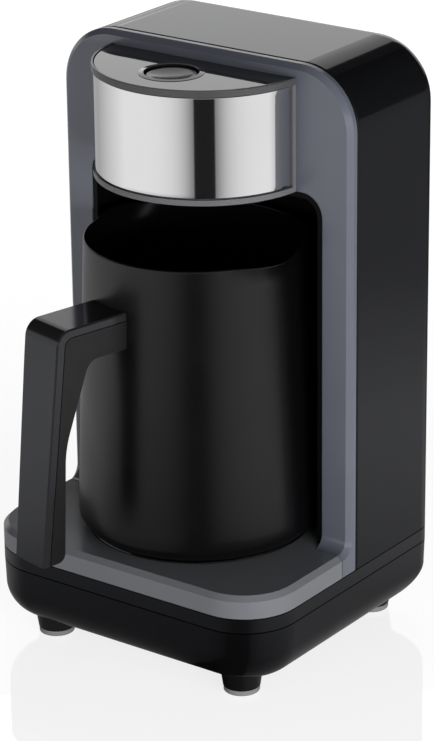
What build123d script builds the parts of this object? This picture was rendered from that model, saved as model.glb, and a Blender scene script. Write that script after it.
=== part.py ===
"""Electric Turkish coffee maker: a brewing column with a round head over a removable pot.

Millimetres, +Z up, user at -Y.  The sub-parts are modelled about the middle of the machine's
body on the table, and moved back by BODY_Y on export, which puts the origin under the middle
of the machine together with its pot handle.
"""
from build123d import *
from math import cos, radians, sin, tan
import os

# ---------------------------------------------------------------- driving dimensions
WIDTH, DEPTH, HEIGHT = 136.0, 122.0, 240.0      # body without the handle
BODY_Y = 13.6                                   # body middle behind the origin
WALL = 2.5                                      # plastic wall
SEAM = 0.45                                     # shadow gap between mouldings
TOUCH = 0.05                                    # parting gap between faces that meet
FIT = 0.03                                      # radial clearance of screws and stems

# base, from the table up
PAD_HEIGHT, PAD_R = 2.3, 7.1
FOOT_TIP_R, FOOT_TOP_R, FOOT_TOP = 7.3, 8.9, 13.0
FOOT_X, FOOT_FRONT_Y, FOOT_REAR_Y = 45.8, -41.8, 48.5
FOOT_RECESS_R, FOOT_RECESS = 3.3, 2.4           # sinks the foot screw's head
FOOT_SCREW_TIP, FOOT_LEG_R = 26.0, 4.5
TRAY_BOTTOM, TRAY_TOP = 8.8, 32.6
TRAY_DRAFT = 2.0                                # degrees, above the turned lower edge
TRAY_TURN_R = 14.0                              # the wall turns in under the machine
TRAY_FLOOR_FRONT_R, TRAY_FLOOR_REAR_R = 10.0, 24.0         # corners of its floor
FRONT_R, REAR_R = 23.0, 10.0                    # corner radii of the base in plan
CHASSIS_TOP, CHASSIS_PLATE = 38.5, 2.0
DECK_BOTTOM, DECK_TOP = CHASSIS_TOP + SEAM, 48.0
EDGE = 2.0                                      # bevelled outer edge of deck and bezel

# column
BEZEL_FACE, BEZEL_BACK = -0.5, 3.6
BEZEL_SKIN = 2.5
FOOT_FRONT = -5.2                               # bezel foot on the deck
SHELL_FRONT = BEZEL_BACK + 0.7
SHELL_LIP_R = 0.9                               # rounded front edge of the hood
COVER_INSET, COVER_FLANGE, COVER_LEDGE = 13.0, 1.25, 3.0    # rear cover let into the hood
COVER_WELL_R, COVER_WELL = 3.8, 2.3                         # wells that hold its screws
SLOT_COUNT, SLOT_LOW, SLOT_PITCH, SLOT_HEIGHT = 6, 188.0, 4.6, 1.8
BOSS_R, BOSS_TOP = 4.0, 62.0                                # posts that the column screws enter
ARCH_R = 24.0
NICHE_HALF, NICHE_TOP, NICHE_R, NICHE_BACK = 54.8, 190.5, 9.0, 44.0
LINER_WALL = 2.0
LINER_BOTTOM = DECK_TOP - WALL
LINER_FRONT = BEZEL_FACE + 0.4
LINER_GAP = 0.15

# head
HEAD_Y, HEAD_R, TRIM_R = 1.25, 42.6, 43.3       # band, and the rings and ribs that frame it
HEAD_IN_R = 39.5
HEAD_TOP = 235.1
BAND_LOW, BAND_HIGH, BAND_THICK = 193.1, 232.1, 0.65
BAND_END_Y = -2.3                               # the band stops short of the bezel
PLATE_R, PLATE_TOP, PLATE_THICK = 41.95, 234.7, 1.5
CARRIER_THICK = 3.0
BOARD_TOP = 218.1                               # control board
BOARD_THICK = 1.6
POWER_LOW = 197.0                               # power board above the niche
POWER_HIGH = POWER_LOW + BOARD_THICK

# start button
BUTTON_Y = -19.8
BUTTON_R, BUTTON_TOP, BUTTON_THICK = 9.7, 234.1, 2.6
BUTTON_DISH_R, BUTTON_DISH = 8.2, 0.7
STEM_R, STEM_END = 2.4, 223.9
RING_IN_R, RING_OUT_R, RING_TOP, RING_FALL = 10.5, 12.5, 235.05, 0.2
WELL_R, WELL_WALL, WELL_FLOOR = 10.6, 1.6, 225.7

# heater
POT_Y = -6.1                                    # axis of pot and heater
HEATER_R, HEATER_TOP, HEATER_FLANGE_R = 44.0, 48.5, 47.0
HEATER_BOTTOM = 43.5

# pot
POT_TURN = -13.0                                # degrees, handle turned to the user's left
POT_BOTTOM, POT_TOP = 48.6, 167.0
POT_BASE_R, POT_RIM_R, POT_BASE_FILLET = 47.9, 43.4, 6.0
POT_WALL, POT_FLOOR = 1.0, 3.0
SPOUT_REACH, SPOUT_R, SPOUT_DEPTH = 48.2, 17.6, 9.0

# handle, measured outwards from the pot's axis
ARM_TOP, ARM_BOTTOM = 148.3, 133.8
ARM_START = 42.0
POT_GAP = 0.3                                   # between the shell's end and the pot
BEND_TOP = 75.9                                 # outer face carried up to the arm's top
GRIP_FOOT_OUT, GRIP_FOOT_IN, GRIP_BOTTOM = 85.5, 74.8, 54.8
GRIP_WAIST, GRIP_WAIST_Z = 73.5, 101.0
HANDLE_HALF, HANDLE_HALF_LOW = 10.0, 8.7
HANDLE_SHELL = 3.2
BEND_R = 6.5
HANDLE_SCREW_Y = -57.0

# fasteners: head radius, head height, shank radius
SCREW_3 = (3.0, 1.6, 1.5)
SCREW_2 = (2.2, 1.4, 1.0)


# ---------------------------------------------------------------- small helpers
def block(x0, x1, y0, y1, z0, z1):
    """Box between two corners."""
    centre = Pos((x0 + x1) / 2, (y0 + y1) / 2, (z0 + z1) / 2)
    return centre * Box(x1 - x0, y1 - y0, z1 - z0)


def post(x, y, z0, z1, r):
    """Upright cylinder."""
    return Pos(x, y, (z0 + z1) / 2) * Cylinder(r, z1 - z0)


def pin_y(x, z, y0, y1, r):
    """Cylinder lying along Y."""
    return Pos(x, (y0 + y1) / 2, z) * Rot(90, 0, 0) * Cylinder(r, y1 - y0)


def tube(x, y, z0, z1, r_out, r_in):
    """Upright ring."""
    return post(x, y, z0, z1, r_out) - post(x, y, z0 - 1, z1 + 1, r_in)


def slab_z(sketch, z0, z1):
    """Plan outline extruded from z0 up to z1."""
    return extrude(Pos(0, 0, z0) * sketch, z1 - z0)


def slab_y(sketch, y0, y1):
    """Front-view outline (x, z) extruded from y0 back to y1."""
    plane = Plane(origin=(0, y1, 0), x_dir=(1, 0, 0), z_dir=(0, -1, 0))
    return extrude(plane * sketch, y1 - y0)


def mirrored(positions):
    """Each (x, y) and its mirror image across the middle plane."""
    return [(side * x, y) for x, y in positions for side in (-1, 1)]


def group(solids):
    """Separate solids as one node."""
    return Compound(children=list(solids))


def base_outline(inset=0.0, front_r=FRONT_R, rear_r=REAR_R):
    """Plan outline of the base, its front corners rounder than its rear ones."""
    outline = Rectangle(WIDTH - 2 * inset, DEPTH - 2 * inset)
    front = outline.vertices().group_by(Axis.Y)[0]
    outline = fillet(front, front_r - inset)
    rear = outline.vertices().group_by(Axis.Y)[-1]
    return fillet(rear, rear_r - inset)


def tray_form(skin):
    """The tray's outer form, drawn in by skin: upright walls that turn in to a level floor."""
    straight = TRAY_TOP - TRAY_BOTTOM - TRAY_TURN_R
    lean = straight * tan(radians(TRAY_DRAFT))
    turn_r = TRAY_TURN_R - skin
    sections = []
    for degrees in range(0, 91, 18):
        across_turn = turn_r * (1 - cos(radians(degrees)))
        z = TRAY_BOTTOM + skin + turn_r * (1 - sin(radians(degrees)))
        share = 1 - cos(radians(degrees))
        front_r = FRONT_R + across_turn + (TRAY_FLOOR_FRONT_R - FRONT_R) * share
        rear_r = REAR_R + across_turn + (TRAY_FLOOR_REAR_R - REAR_R) * share
        outline = base_outline(lean + skin + across_turn, front_r, rear_r)
        sections.append(Pos(0, 0, z) * outline)
    wall = extrude(Pos(0, 0, TRAY_TOP) * base_outline(skin), -straight, taper=TRAY_DRAFT)
    return wall + loft(sections)


def arch(half, top, radius, bottom):
    """Front-view outline with its two upper corners rounded."""
    height = top - bottom
    outline = Pos(0, bottom + height / 2) * Rectangle(2 * half, height)
    return fillet(outline.vertices().group_by(Axis.Y)[-1], radius)


def column_arch(inset=0.0, bottom=DECK_BOTTOM):
    """Front-view outline of the column."""
    return arch(WIDTH / 2 - inset, HEIGHT - inset, ARCH_R - inset, bottom)


def niche_arch(outset=0.0, bottom=LINER_BOTTOM):
    """Front-view outline of the bezel's window, grown by outset."""
    return arch(NICHE_HALF + outset, NICHE_TOP + outset, NICHE_R + outset, bottom)


def head_disc(radius, z0, z1, back=BEZEL_FACE - TOUCH):
    """The part of an upright disc about the head's axis that stands before the bezel."""
    disc = post(0, HEAD_Y, z0, z1, radius)
    return disc - block(-60, 60, back, 60, z0 - 1, z1 + 1)


def screw_up(x, y, seat, tip, size):
    """Screw with its head below the seat and its shank up to the tip."""
    head_r, head_h, shank_r = size
    return post(x, y, seat - head_h, seat, head_r) + post(x, y, seat, tip, shank_r)


def screw_forward(x, z, seat, tip, size):
    """Screw lying along Y with its head behind the seat."""
    head_r, head_h, shank_r = size
    return pin_y(x, z, seat, seat + head_h, head_r) + pin_y(x, z, tip, seat, shank_r)


# ---------------------------------------------------------------- positions that parts share
FOOT_POINTS = mirrored([(FOOT_X, FOOT_FRONT_Y), (FOOT_X, FOOT_REAR_Y)])
DECK_SCREW_POINTS = mirrored([(56.0, -18.0), (30.0, -54.0)])
COLUMN_SCREW_POINTS = mirrored([(61.0, 14.0), (61.0, 44.0)])
LINER_SCREW_POINTS = mirrored([(58.3, 75.0), (58.3, 168.0)])      # (x, z)
HEAD_SCREW_POINTS = mirrored([(34.0, 204.0), (34.0, 224.0)])      # (x, z)
COVER_SCREW_POINTS = mirrored([(45.0, 82.0), (45.0, 200.0)])      # (x, z)
CONTROL_LEGS = mirrored([(26.5, -8.0), (19.0, -27.0)])
POWER_LEGS = mirrored([(40.0, 14.0), (40.0, 46.0)])
GLAND_X, GLAND_Z, GLAND_BORE_R, GLAND_NECK_R = 38.0, 56.0, 3.4, 6.0
SENSOR_Y = -14.0
BUZZER_X, BUZZER_Y = 16.3, -8.2
LOOM_R, LOOM_Z = 2.1, 41.0


# ---------------------------------------------------------------- feet and base
def foot_pads():
    pads = []
    for x, y in FOOT_POINTS:
        pad = post(x, y, 0, PAD_HEIGHT, PAD_R)
        pads.append(fillet(pad.edges().group_by(Axis.Z)[0], 0.5))
    return group(pads)


def foot_collars():
    """Black cones fitted to the tray's underside."""
    tray = tray_form(-TOUCH)
    collars = []
    for x, y in FOOT_POINTS:
        height = FOOT_TOP - PAD_HEIGHT
        collar = Pos(x, y, PAD_HEIGHT + height / 2) * Cone(FOOT_TIP_R, FOOT_TOP_R, height)
        collar -= tray
        collar -= post(x, y, PAD_HEIGHT - 1, PAD_HEIGHT + FOOT_RECESS, FOOT_RECESS_R)
        collar -= post(x, y, PAD_HEIGHT, FOOT_TOP, SCREW_3[2] + 0.1)
        collars.append(collar)
    return group(collars)


def foot_screws():
    seat = PAD_HEIGHT + FOOT_RECESS
    return group(screw_up(x, y, seat, FOOT_SCREW_TIP, SCREW_3) for x, y in FOOT_POINTS)


def base_tray():
    """Black tray with vent slots in its floor."""
    tray = tray_form(0) - tray_form(WALL)
    for x, y in FOOT_POINTS:
        tray -= post(x, y, TRAY_BOTTOM - 1, FOOT_TOP + WALL, SCREW_3[2] + 0.1)
    for step in range(-3, 4):
        tray -= block(9.0 * step - 1.25, 9.0 * step + 1.25, -16, 22, 0, TRAY_BOTTOM + WALL + 1)
    return tray


def chassis():
    """Black rim between tray and deck, with the plate that everything is screwed to."""
    rim_low = TRAY_TOP + SEAM
    plate_low = CHASSIS_TOP - CHASSIS_PLATE
    frame = slab_z(base_outline(), rim_low, CHASSIS_TOP)
    frame -= slab_z(base_outline(WALL), rim_low - 1, plate_low)
    tongue = slab_z(base_outline(WALL - 0.1), rim_low - 5, rim_low + 1)
    tongue -= slab_z(base_outline(WALL + 1.7), rim_low - 6, rim_low + 2)
    tray = tray_form(WALL + TOUCH)
    tongue &= tray + slab_z(base_outline(), TRAY_TOP, rim_low + 2)
    frame += tongue
    for x, y in FOOT_POINTS:
        leg = post(x, y, TRAY_BOTTOM, rim_low, FOOT_LEG_R) & tray
        frame += leg + post(x, y, TRAY_TOP - 1, plate_low, FOOT_LEG_R)
        frame -= post(x, y, TRAY_BOTTOM, FOOT_SCREW_TIP + 0.5, SCREW_3[2] + FIT)
    frame -= post(0, POT_Y, 0, HEIGHT, 46.0)
    for x, y in DECK_SCREW_POINTS + COLUMN_SCREW_POINTS:
        frame -= post(x, y, plate_low - 1, CHASSIS_TOP + 1, SCREW_3[2] + FIT)
    return frame


def deck_trim():
    """Grey deck round the heater, running back into the niche as its floor."""
    deck = slab_z(base_outline(), DECK_BOTTOM, DECK_TOP)
    deck = chamfer(deck.edges().group_by(Axis.Z)[-1], EDGE)
    deck -= slab_z(base_outline(WALL), DECK_BOTTOM - 1, DECK_TOP - WALL)
    between_feet = NICHE_HALF - 0.3
    in_liner = NICHE_HALF - LINER_GAP - LINER_WALL - 0.3
    for side in (-1, 1):
        for half, front in ((between_feet, FOOT_FRONT - SEAM), (in_liner, LINER_FRONT - 0.3)):
            x0, x1 = sorted((side * half, side * WIDTH))
            deck -= block(x0, x1, front, DEPTH, DECK_BOTTOM - 1, DECK_TOP + 1)
    deck -= block(-WIDTH, WIDTH, NICHE_BACK - 0.3, DEPTH, DECK_BOTTOM - 1, DECK_TOP + 1)
    deck -= post(0, POT_Y, DECK_BOTTOM - 1, DECK_TOP + 1, HEATER_R + 0.6)
    for x, y in DECK_SCREW_POINTS:
        deck += post(x, y, CHASSIS_TOP, DECK_TOP - WALL + 0.5, 3.4)
        deck -= post(x, y, CHASSIS_TOP - 1, 44.5, SCREW_3[2] + FIT)
    return deck


def deck_screws():
    seat = CHASSIS_TOP - CHASSIS_PLATE
    return group(screw_up(x, y, seat, 44.0, SCREW_3) for x, y in DECK_SCREW_POINTS)


# ---------------------------------------------------------------- heater
def heater_plate():
    plate = post(0, POT_Y, HEATER_BOTTOM + 1.5, HEATER_TOP, HEATER_R)
    plate = fillet(plate.edges().group_by(Axis.Z)[-1], 0.6)
    plate += post(0, POT_Y, HEATER_BOTTOM, HEATER_BOTTOM + 1.5, HEATER_FLANGE_R)
    return plate - post(0, POT_Y, HEATER_BOTTOM - 1, 47.0, 2.0 + FIT)


def heater_gasket():
    return tube(0, POT_Y, HEATER_BOTTOM + 1.5, DECK_TOP - WALL, HEATER_FLANGE_R, HEATER_R + 0.8)


def heating_element():
    """Cast ring with two terminal tabs."""
    ring = tube(0, POT_Y, 38.2, HEATER_BOTTOM, 32.0, 24.0)
    ring = fillet(ring.edges().group_by(Axis.Z)[0], 1.5)
    for side in (-1, 1):
        ring += block(side * 8 - 3, side * 8 + 3, POT_Y + 31.5, POT_Y + 41, 39.6, 40.4)
    return ring


def heater_bracket():
    """Steel strap that draws the plate down on its gasket."""
    high = CHASSIS_TOP - CHASSIS_PLATE
    strap = block(-56, 56, POT_Y - 8, POT_Y + 8, high - 1.5, high)
    return strap - post(0, POT_Y, high - 3, high + 1, 2.0 + FIT)


def heater_screw():
    return screw_up(0, POT_Y, CHASSIS_TOP - CHASSIS_PLATE - 1.5, 46.5, (3.6, 2.2, 2.0))


def thermostat():
    cup = post(15, POT_Y, 38.0, HEATER_BOTTOM, 7.0)
    return cup + post(15, POT_Y, 37.2, 38.0, 4.0)


def thermal_fuse():
    return Pos(-14, POT_Y, HEATER_BOTTOM - 2.2) * Rot(90, 0, 0) * Cylinder(2.2, 11)


# ---------------------------------------------------------------- column
def bezel_edge(edge):
    """True for the bezel's outer front edge, from the feet up and over the arch."""
    p = edge.center()
    side = abs(abs(p.X) - WIDTH / 2) < 0.01
    on_face = abs(p.Y - BEZEL_FACE) < 0.01 and (abs(p.X) > 60 or p.Z > HEAD_TOP + 2)
    on_cove = side and FOOT_FRONT + 0.1 < p.Y < BEZEL_FACE - 0.1 and p.Z > DECK_TOP
    return on_face or on_cove


def window_edge(edge):
    """True for the front edge of the bezel's window above the coved feet."""
    p = edge.center()
    flat = all(abs((edge @ t).Y - BEZEL_FACE) < 0.01 for t in (0, 0.5, 1))
    return flat and abs(p.X) < NICHE_HALF + 0.01 and DECK_TOP < p.Z < NICHE_TOP + 0.01


def front_bezel():
    """Grey frame of the column's front, with coved feet that run into the deck."""
    face = slab_y(column_arch(), BEZEL_FACE, BEZEL_BACK)
    cove_r = BEZEL_FACE - FOOT_FRONT
    foot_top = DECK_TOP + cove_r
    section = Rectangle(BEZEL_BACK - FOOT_FRONT, foot_top - DECK_BOTTOM, align=(Align.MIN, Align.MIN))
    section -= Pos(0, foot_top - DECK_BOTTOM) * Circle(cove_r)
    side = Plane(origin=(-WIDTH / 2, FOOT_FRONT, DECK_BOTTOM), x_dir=(0, 1, 0), z_dir=(1, 0, 0))
    face += extrude(side * section, WIDTH)
    face = chamfer(face.edges().filter_by(bezel_edge), EDGE)
    pocket = slab_y(column_arch(3.0, DECK_BOTTOM + 3.0), BEZEL_FACE + BEZEL_SKIN, BEZEL_BACK + 1)
    face -= pocket
    face -= slab_y(niche_arch(0, DECK_BOTTOM - 1), FOOT_FRONT - 1, BEZEL_BACK + 1)
    face = fillet(face.edges().filter_by(window_edge), 0.5)
    face -= block(-30, 30, BEZEL_FACE - 1, BEZEL_BACK + 1, NICHE_TOP + 8, HEAD_TOP - 8)
    for x, z in HEAD_SCREW_POINTS:
        face -= pin_y(x, z, BEZEL_FACE - 1, BEZEL_BACK + 1, SCREW_3[2] + FIT)
    for x, z in LINER_SCREW_POINTS:
        face -= pin_y(x, z, BEZEL_FACE + 0.8, BEZEL_BACK + 1, SCREW_2[2] + FIT)
    return face


def rear_shell():
    """Glossy black hood of the column, open behind for its cover."""
    back = DEPTH / 2
    hood = slab_y(column_arch(), SHELL_FRONT, back)
    rear_edges = hood.edges().group_by(Axis.Y)[-1].filter_by(lambda e: e.center().Z > DECK_BOTTOM + 1)
    hood = fillet(rear_edges, REAR_R)
    lip = hood.edges().group_by(Axis.Y)[0].filter_by(lambda e: e.center().Z > DECK_BOTTOM + 1)
    hood = fillet(lip, SHELL_LIP_R)
    hollow = slab_y(column_arch(WALL, DECK_BOTTOM - 1), SHELL_FRONT - 1, back - WALL)
    inner = hollow.edges().group_by(Axis.Y)[-1].filter_by(lambda e: e.center().Z > DECK_BOTTOM + 1)
    hood -= fillet(inner, REAR_R - WALL)
    hood -= slab_y(column_arch(COVER_INSET, DECK_BOTTOM - 1), back - COVER_FLANGE - TOUCH, back + 1)
    hood -= slab_y(column_arch(COVER_INSET + COVER_LEDGE, DECK_BOTTOM - 1), back - WALL - 1, back + 1)
    for x, y in COLUMN_SCREW_POINTS:
        inner_x, outer_x = sorted((x, x * 1.08))
        boss = post(x, y, CHASSIS_TOP, BOSS_TOP, BOSS_R)
        boss += block(inner_x, outer_x, y - 1.5, y + 1.5, DECK_BOTTOM, BOSS_TOP)
        hood += boss
        hood -= post(x, y, CHASSIS_TOP - 1, 52.5, SCREW_3[2] + FIT)
    boss_end = back - COVER_WELL - 1.5 - TOUCH
    for x, z in COVER_SCREW_POINTS:
        inner_x, outer_x = sorted((x, x * 1.43))
        hood += pin_y(x, z, boss_end - 7.0, boss_end, 3.6)
        hood += block(inner_x, outer_x, boss_end - 4.0, boss_end, z - 1.5, z + 1.5)
        hood -= pin_y(x, z, boss_end - 8.0, boss_end + 1, SCREW_3[2] + FIT)
    return hood


def back_cover():
    """Rear cover with air slots above, a sunk well for each screw and the cord's hole."""
    back = DEPTH / 2
    cover = slab_y(column_arch(COVER_INSET + SEAM), back - COVER_FLANGE, back)
    cover = chamfer(cover.edges().group_by(Axis.Y)[-1], 0.4)
    cover += slab_y(column_arch(COVER_INSET + COVER_LEDGE + 0.3), back - WALL, back - 1)
    for x, z in COVER_SCREW_POINTS:
        cover += pin_y(x, z, back - COVER_WELL - 1.5, back - 1, COVER_WELL_R + 1.4)
        cover -= pin_y(x, z, back - COVER_WELL, back + 1, COVER_WELL_R)
        cover -= pin_y(x, z, back - 5, back, SCREW_3[2] + FIT)
    for step in range(SLOT_COUNT):
        z = SLOT_LOW + SLOT_PITCH * step
        cover -= block(-26, 26, back - 4, back + 1, z, z + SLOT_HEIGHT)
    return cover - pin_y(GLAND_X, GLAND_Z, back - 5, back + 5, GLAND_NECK_R)


def cover_screws():
    seat = DEPTH / 2 - COVER_WELL
    return group(screw_forward(x, z, seat, seat - 6.7, SCREW_3) for x, z in COVER_SCREW_POINTS)


def column_screws():
    seat = CHASSIS_TOP - CHASSIS_PLATE
    return group(screw_up(x, y, seat, 52.0, SCREW_3) for x, y in COLUMN_SCREW_POINTS)


def niche_liner():
    """Black pocket that the pot stands in, with bosses for the power board on its roof."""
    flange = BEZEL_FACE + BEZEL_SKIN + TOUCH
    liner = slab_y(niche_arch(-LINER_GAP), LINER_FRONT, NICHE_BACK + LINER_WALL)
    liner += slab_y(niche_arch(6.0, 60.0), flange, flange + 1.5)
    liner -= slab_y(niche_arch(-LINER_GAP - LINER_WALL, LINER_BOTTOM - 1), LINER_FRONT - 1, NICHE_BACK)
    for x, z in LINER_SCREW_POINTS:
        liner -= pin_y(x, z, flange - 1, flange + 2, SCREW_2[2] + FIT)
    roof = NICHE_TOP - LINER_GAP
    for x, y in POWER_LEGS:
        liner += post(x, y, roof - 0.5, POWER_LOW, 3.0)
        liner -= post(x, y, roof - 0.8, POWER_LOW + 1, SCREW_2[2] + FIT)
    return liner


def liner_screws():
    seat = BEZEL_FACE + BEZEL_SKIN + TOUCH + 1.5
    return group(screw_forward(x, z, seat, BEZEL_FACE + 1, SCREW_2) for x, z in LINER_SCREW_POINTS)


# ---------------------------------------------------------------- head
def head_housing():
    """Grey half-round housing with a recess for the steel band and one for the top plate."""
    housing = head_disc(TRIM_R, NICHE_TOP, HEAD_TOP)
    rims = housing.edges().filter_by(GeomType.CIRCLE).group_by(Axis.Z)
    housing = fillet(rims[-1] + rims[0], 0.35)
    housing -= head_disc(HEAD_IN_R, NICHE_TOP - 1, HEAD_TOP + 1)
    housing -= head_disc(PLATE_R + 0.45, PLATE_TOP - PLATE_THICK - TOUCH, HEAD_TOP + 1)
    recess = head_disc(TRIM_R + 2, BAND_LOW - 0.3, BAND_HIGH + 0.3, BAND_END_Y)
    recess -= head_disc(HEAD_R - BAND_THICK - TOUCH, BAND_LOW - 2, BAND_HIGH + 2)
    housing -= recess
    for x, z in HEAD_SCREW_POINTS:
        inner, outer = sorted((x * 0.9, x * 1.155))
        housing += block(inner, outer, -9.0, BEZEL_FACE - TOUCH, z - 3, z + 3)
        housing -= pin_y(x, z, -8.5, BEZEL_FACE + 1, SCREW_3[2] + FIT)
    return housing


def steel_band():
    band = head_disc(HEAD_R, BAND_LOW, BAND_HIGH, BAND_END_Y - 0.5)
    return band - head_disc(HEAD_R - BAND_THICK, BAND_LOW - 1, BAND_HIGH + 1)


def head_screws():
    seat = BEZEL_FACE + BEZEL_SKIN
    return group(screw_forward(x, z, seat, -8.0, SCREW_3) for x, z in HEAD_SCREW_POINTS)


def head_floor():
    """Black underside of the head, with a seat for the sensor window."""
    floor = head_disc(HEAD_IN_R - 0.1, NICHE_TOP + 0.4, NICHE_TOP + 2.3)
    return floor - post(0, SENSOR_Y, NICHE_TOP - 1, NICHE_TOP + 3, 5.0)


def sensor_window():
    window = post(0, SENSOR_Y, NICHE_TOP + 0.3, NICHE_TOP + 2.3, 4.95)
    return window + post(0, SENSOR_Y, NICHE_TOP + 2.3, NICHE_TOP + 3.1, 6.5)


def foam_sensor():
    low = NICHE_TOP + 3.1
    body = block(-8, 8, SENSOR_Y - 6, SENSOR_Y + 6, low, low + 1.6)
    for side in (-1, 1):
        body += post(side * 3.0, SENSOR_Y, low + 1.6, low + 5.2, 2.0)
    return body


def top_carrier():
    """Plastic plate below the head's top, with the button's well and the board's legs."""
    high = PLATE_TOP - PLATE_THICK
    low = high - CARRIER_THICK
    carrier = head_disc(HEAD_IN_R - 0.1, low, high)
    carrier += post(0, BUTTON_Y, WELL_FLOOR - 1.5, low + 0.5, WELL_R + WELL_WALL)
    carrier -= post(0, BUTTON_Y, WELL_FLOOR, high + 1, WELL_R)
    carrier -= post(0, BUTTON_Y, WELL_FLOOR - 3, WELL_FLOOR + 1, STEM_R + 2 * FIT)
    for x, y in CONTROL_LEGS:
        carrier += post(x, y, BOARD_TOP, low + 0.5, 2.4)
        carrier -= post(x, y, BOARD_TOP - 1, BOARD_TOP + 6.5, SCREW_2[2] + FIT)
    return carrier


def top_plate():
    plate = head_disc(PLATE_R, PLATE_TOP - PLATE_THICK, PLATE_TOP)
    return plate - post(0, BUTTON_Y, 0, HEIGHT, RING_OUT_R + TOUCH)


def button_ring():
    """Flat ring that falls a little outwards."""
    low = PLATE_TOP - PLATE_THICK
    outline = Polyline((RING_IN_R, low), (RING_OUT_R, low), (RING_OUT_R, RING_TOP - RING_FALL),
                       (RING_IN_R, RING_TOP), close=True)
    section = make_face(Plane.XZ * outline)
    section = fillet(section.vertices().group_by(Axis.Z)[-1], 0.15)
    return Pos(0, BUTTON_Y, 0) * revolve(section, Axis.Z)


def start_button():
    """Dished cap on a guided stem."""
    cap_low = BUTTON_TOP - BUTTON_THICK
    cap = post(0, BUTTON_Y, cap_low, BUTTON_TOP, BUTTON_R)
    cap = fillet(cap.edges().group_by(Axis.Z)[-1], 0.4)
    ball_r = (BUTTON_DISH_R ** 2 + BUTTON_DISH ** 2) / (2 * BUTTON_DISH)
    cap -= Pos(0, BUTTON_Y, BUTTON_TOP - BUTTON_DISH + ball_r) * Sphere(ball_r)
    return cap + post(0, BUTTON_Y, STEM_END, cap_low, STEM_R)


def button_clip():
    """Retaining washer on the stem, below the well's floor."""
    high = WELL_FLOOR - 1.5 - 0.1
    return tube(0, BUTTON_Y, high - 0.6, high, 3.6, STEM_R + 0.01)


def button_spring():
    """Compression spring between the well's floor and the cap."""
    wire, coil_r, turns = 0.3, 4.2, 4
    cap_low = BUTTON_TOP - BUTTON_THICK
    length = cap_low - WELL_FLOOR - 2 * wire - 0.04
    path = Helix(length / turns, length, coil_r)
    section = Plane(origin=path @ 0, z_dir=path % 0) * Circle(wire)
    return Pos(0, BUTTON_Y, WELL_FLOOR + wire + 0.02) * sweep(section, path=path)


def control_board():
    board = head_disc(37.0, BOARD_TOP - BOARD_THICK, BOARD_TOP, -1.5)
    for x, y in CONTROL_LEGS:
        board -= post(x, y, BOARD_TOP - 3, BOARD_TOP + 1, SCREW_2[2] + FIT)
    return board


def tact_switch():
    switch = block(-3.1, 3.1, BUTTON_Y - 3.1, BUTTON_Y + 3.1, BOARD_TOP, BOARD_TOP + 3.5)
    return switch + post(0, BUTTON_Y, BOARD_TOP + 3.5, BOARD_TOP + 4.4, 1.7)


def buzzer():
    case = post(BUZZER_X, BUZZER_Y, BOARD_TOP, BOARD_TOP + 7, 6.0)
    case = fillet(case.edges().group_by(Axis.Z)[-1], 0.5)
    return case - post(BUZZER_X, BUZZER_Y, BOARD_TOP + 5, BOARD_TOP + 8, 0.8)


def board_screws():
    screws = [screw_up(x, y, BOARD_TOP - BOARD_THICK, BOARD_TOP + 6, SCREW_2) for x, y in CONTROL_LEGS]
    for x, y in POWER_LEGS:
        head = post(x, y, POWER_HIGH, POWER_HIGH + SCREW_2[1], SCREW_2[0])
        screws.append(head + post(x, y, POWER_HIGH - 5.5, POWER_HIGH, SCREW_2[2]))
    return group(screws)


# ---------------------------------------------------------------- power electronics
def power_board():
    board = block(-45, 45, 10, 49, POWER_LOW, POWER_HIGH)
    for x, y in POWER_LEGS:
        board -= post(x, y, POWER_LOW - 1, POWER_HIGH + 1, SCREW_2[2] + FIT)
    return board


def power_relay():
    case = block(-33, -13, 22, 38, POWER_HIGH, POWER_HIGH + 15)
    return fillet(case.edges().filter_by(Axis.Z), 1.0)


def transformer():
    core = block(-2, 26, 18, 42, POWER_HIGH + 4, POWER_HIGH + 18)
    coil = block(3, 21, 14, 46, POWER_HIGH, POWER_HIGH + 22)
    return core + fillet(coil.edges().filter_by(Axis.Y), 2.0)


def power_capacitor():
    can = post(36, 30, POWER_HIGH, POWER_HIGH + 16, 5.0)
    return fillet(can.edges().group_by(Axis.Z)[-1], 0.8)


def wire_loom():
    """Heater wires, from under the deck up behind the niche to the power board."""
    path = FilletPolyline((0, 36, LOOM_Z), (0, 52, LOOM_Z), (0, 52, 208), (0, 46, 208), radius=4.0)
    section = Plane(origin=path @ 0, z_dir=path % 0) * Circle(LOOM_R)
    return sweep(section, path=path)


def loom_clips():
    clips = []
    for z in (85.0, 150.0):
        clip = block(-5, 5, NICHE_BACK + LINER_WALL, 52.0, z - 4, z + 4)
        clips.append(clip - post(0, 52, z - 5, z + 5, LOOM_R + FIT))
    return group(clips)


def cord_gland():
    back = DEPTH / 2
    gland = pin_y(GLAND_X, GLAND_Z, back, back + 3, 9.0)
    gland = fillet(gland.edges().group_by(Axis.Y)[-1], 0.8)
    gland += pin_y(GLAND_X, GLAND_Z, back - 6.5, back, GLAND_NECK_R - TOUCH)
    return gland - pin_y(GLAND_X, GLAND_Z, back - 8, back + 5, GLAND_BORE_R)


def gland_nut():
    back = DEPTH / 2
    nut = pin_y(GLAND_X, GLAND_Z, back - WALL - 2.2, back - WALL, 9.0)
    return nut - pin_y(GLAND_X, GLAND_Z, back - 8, back, GLAND_NECK_R - TOUCH + FIT)


# ---------------------------------------------------------------- pot, about its own axis
def pot_radius(z):
    """Outer radius of the tapered wall at height z."""
    low = POT_BOTTOM + POT_BASE_FILLET
    return POT_BASE_R + (POT_RIM_R - POT_BASE_R) * (z - low) / (POT_TOP - low)


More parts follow.
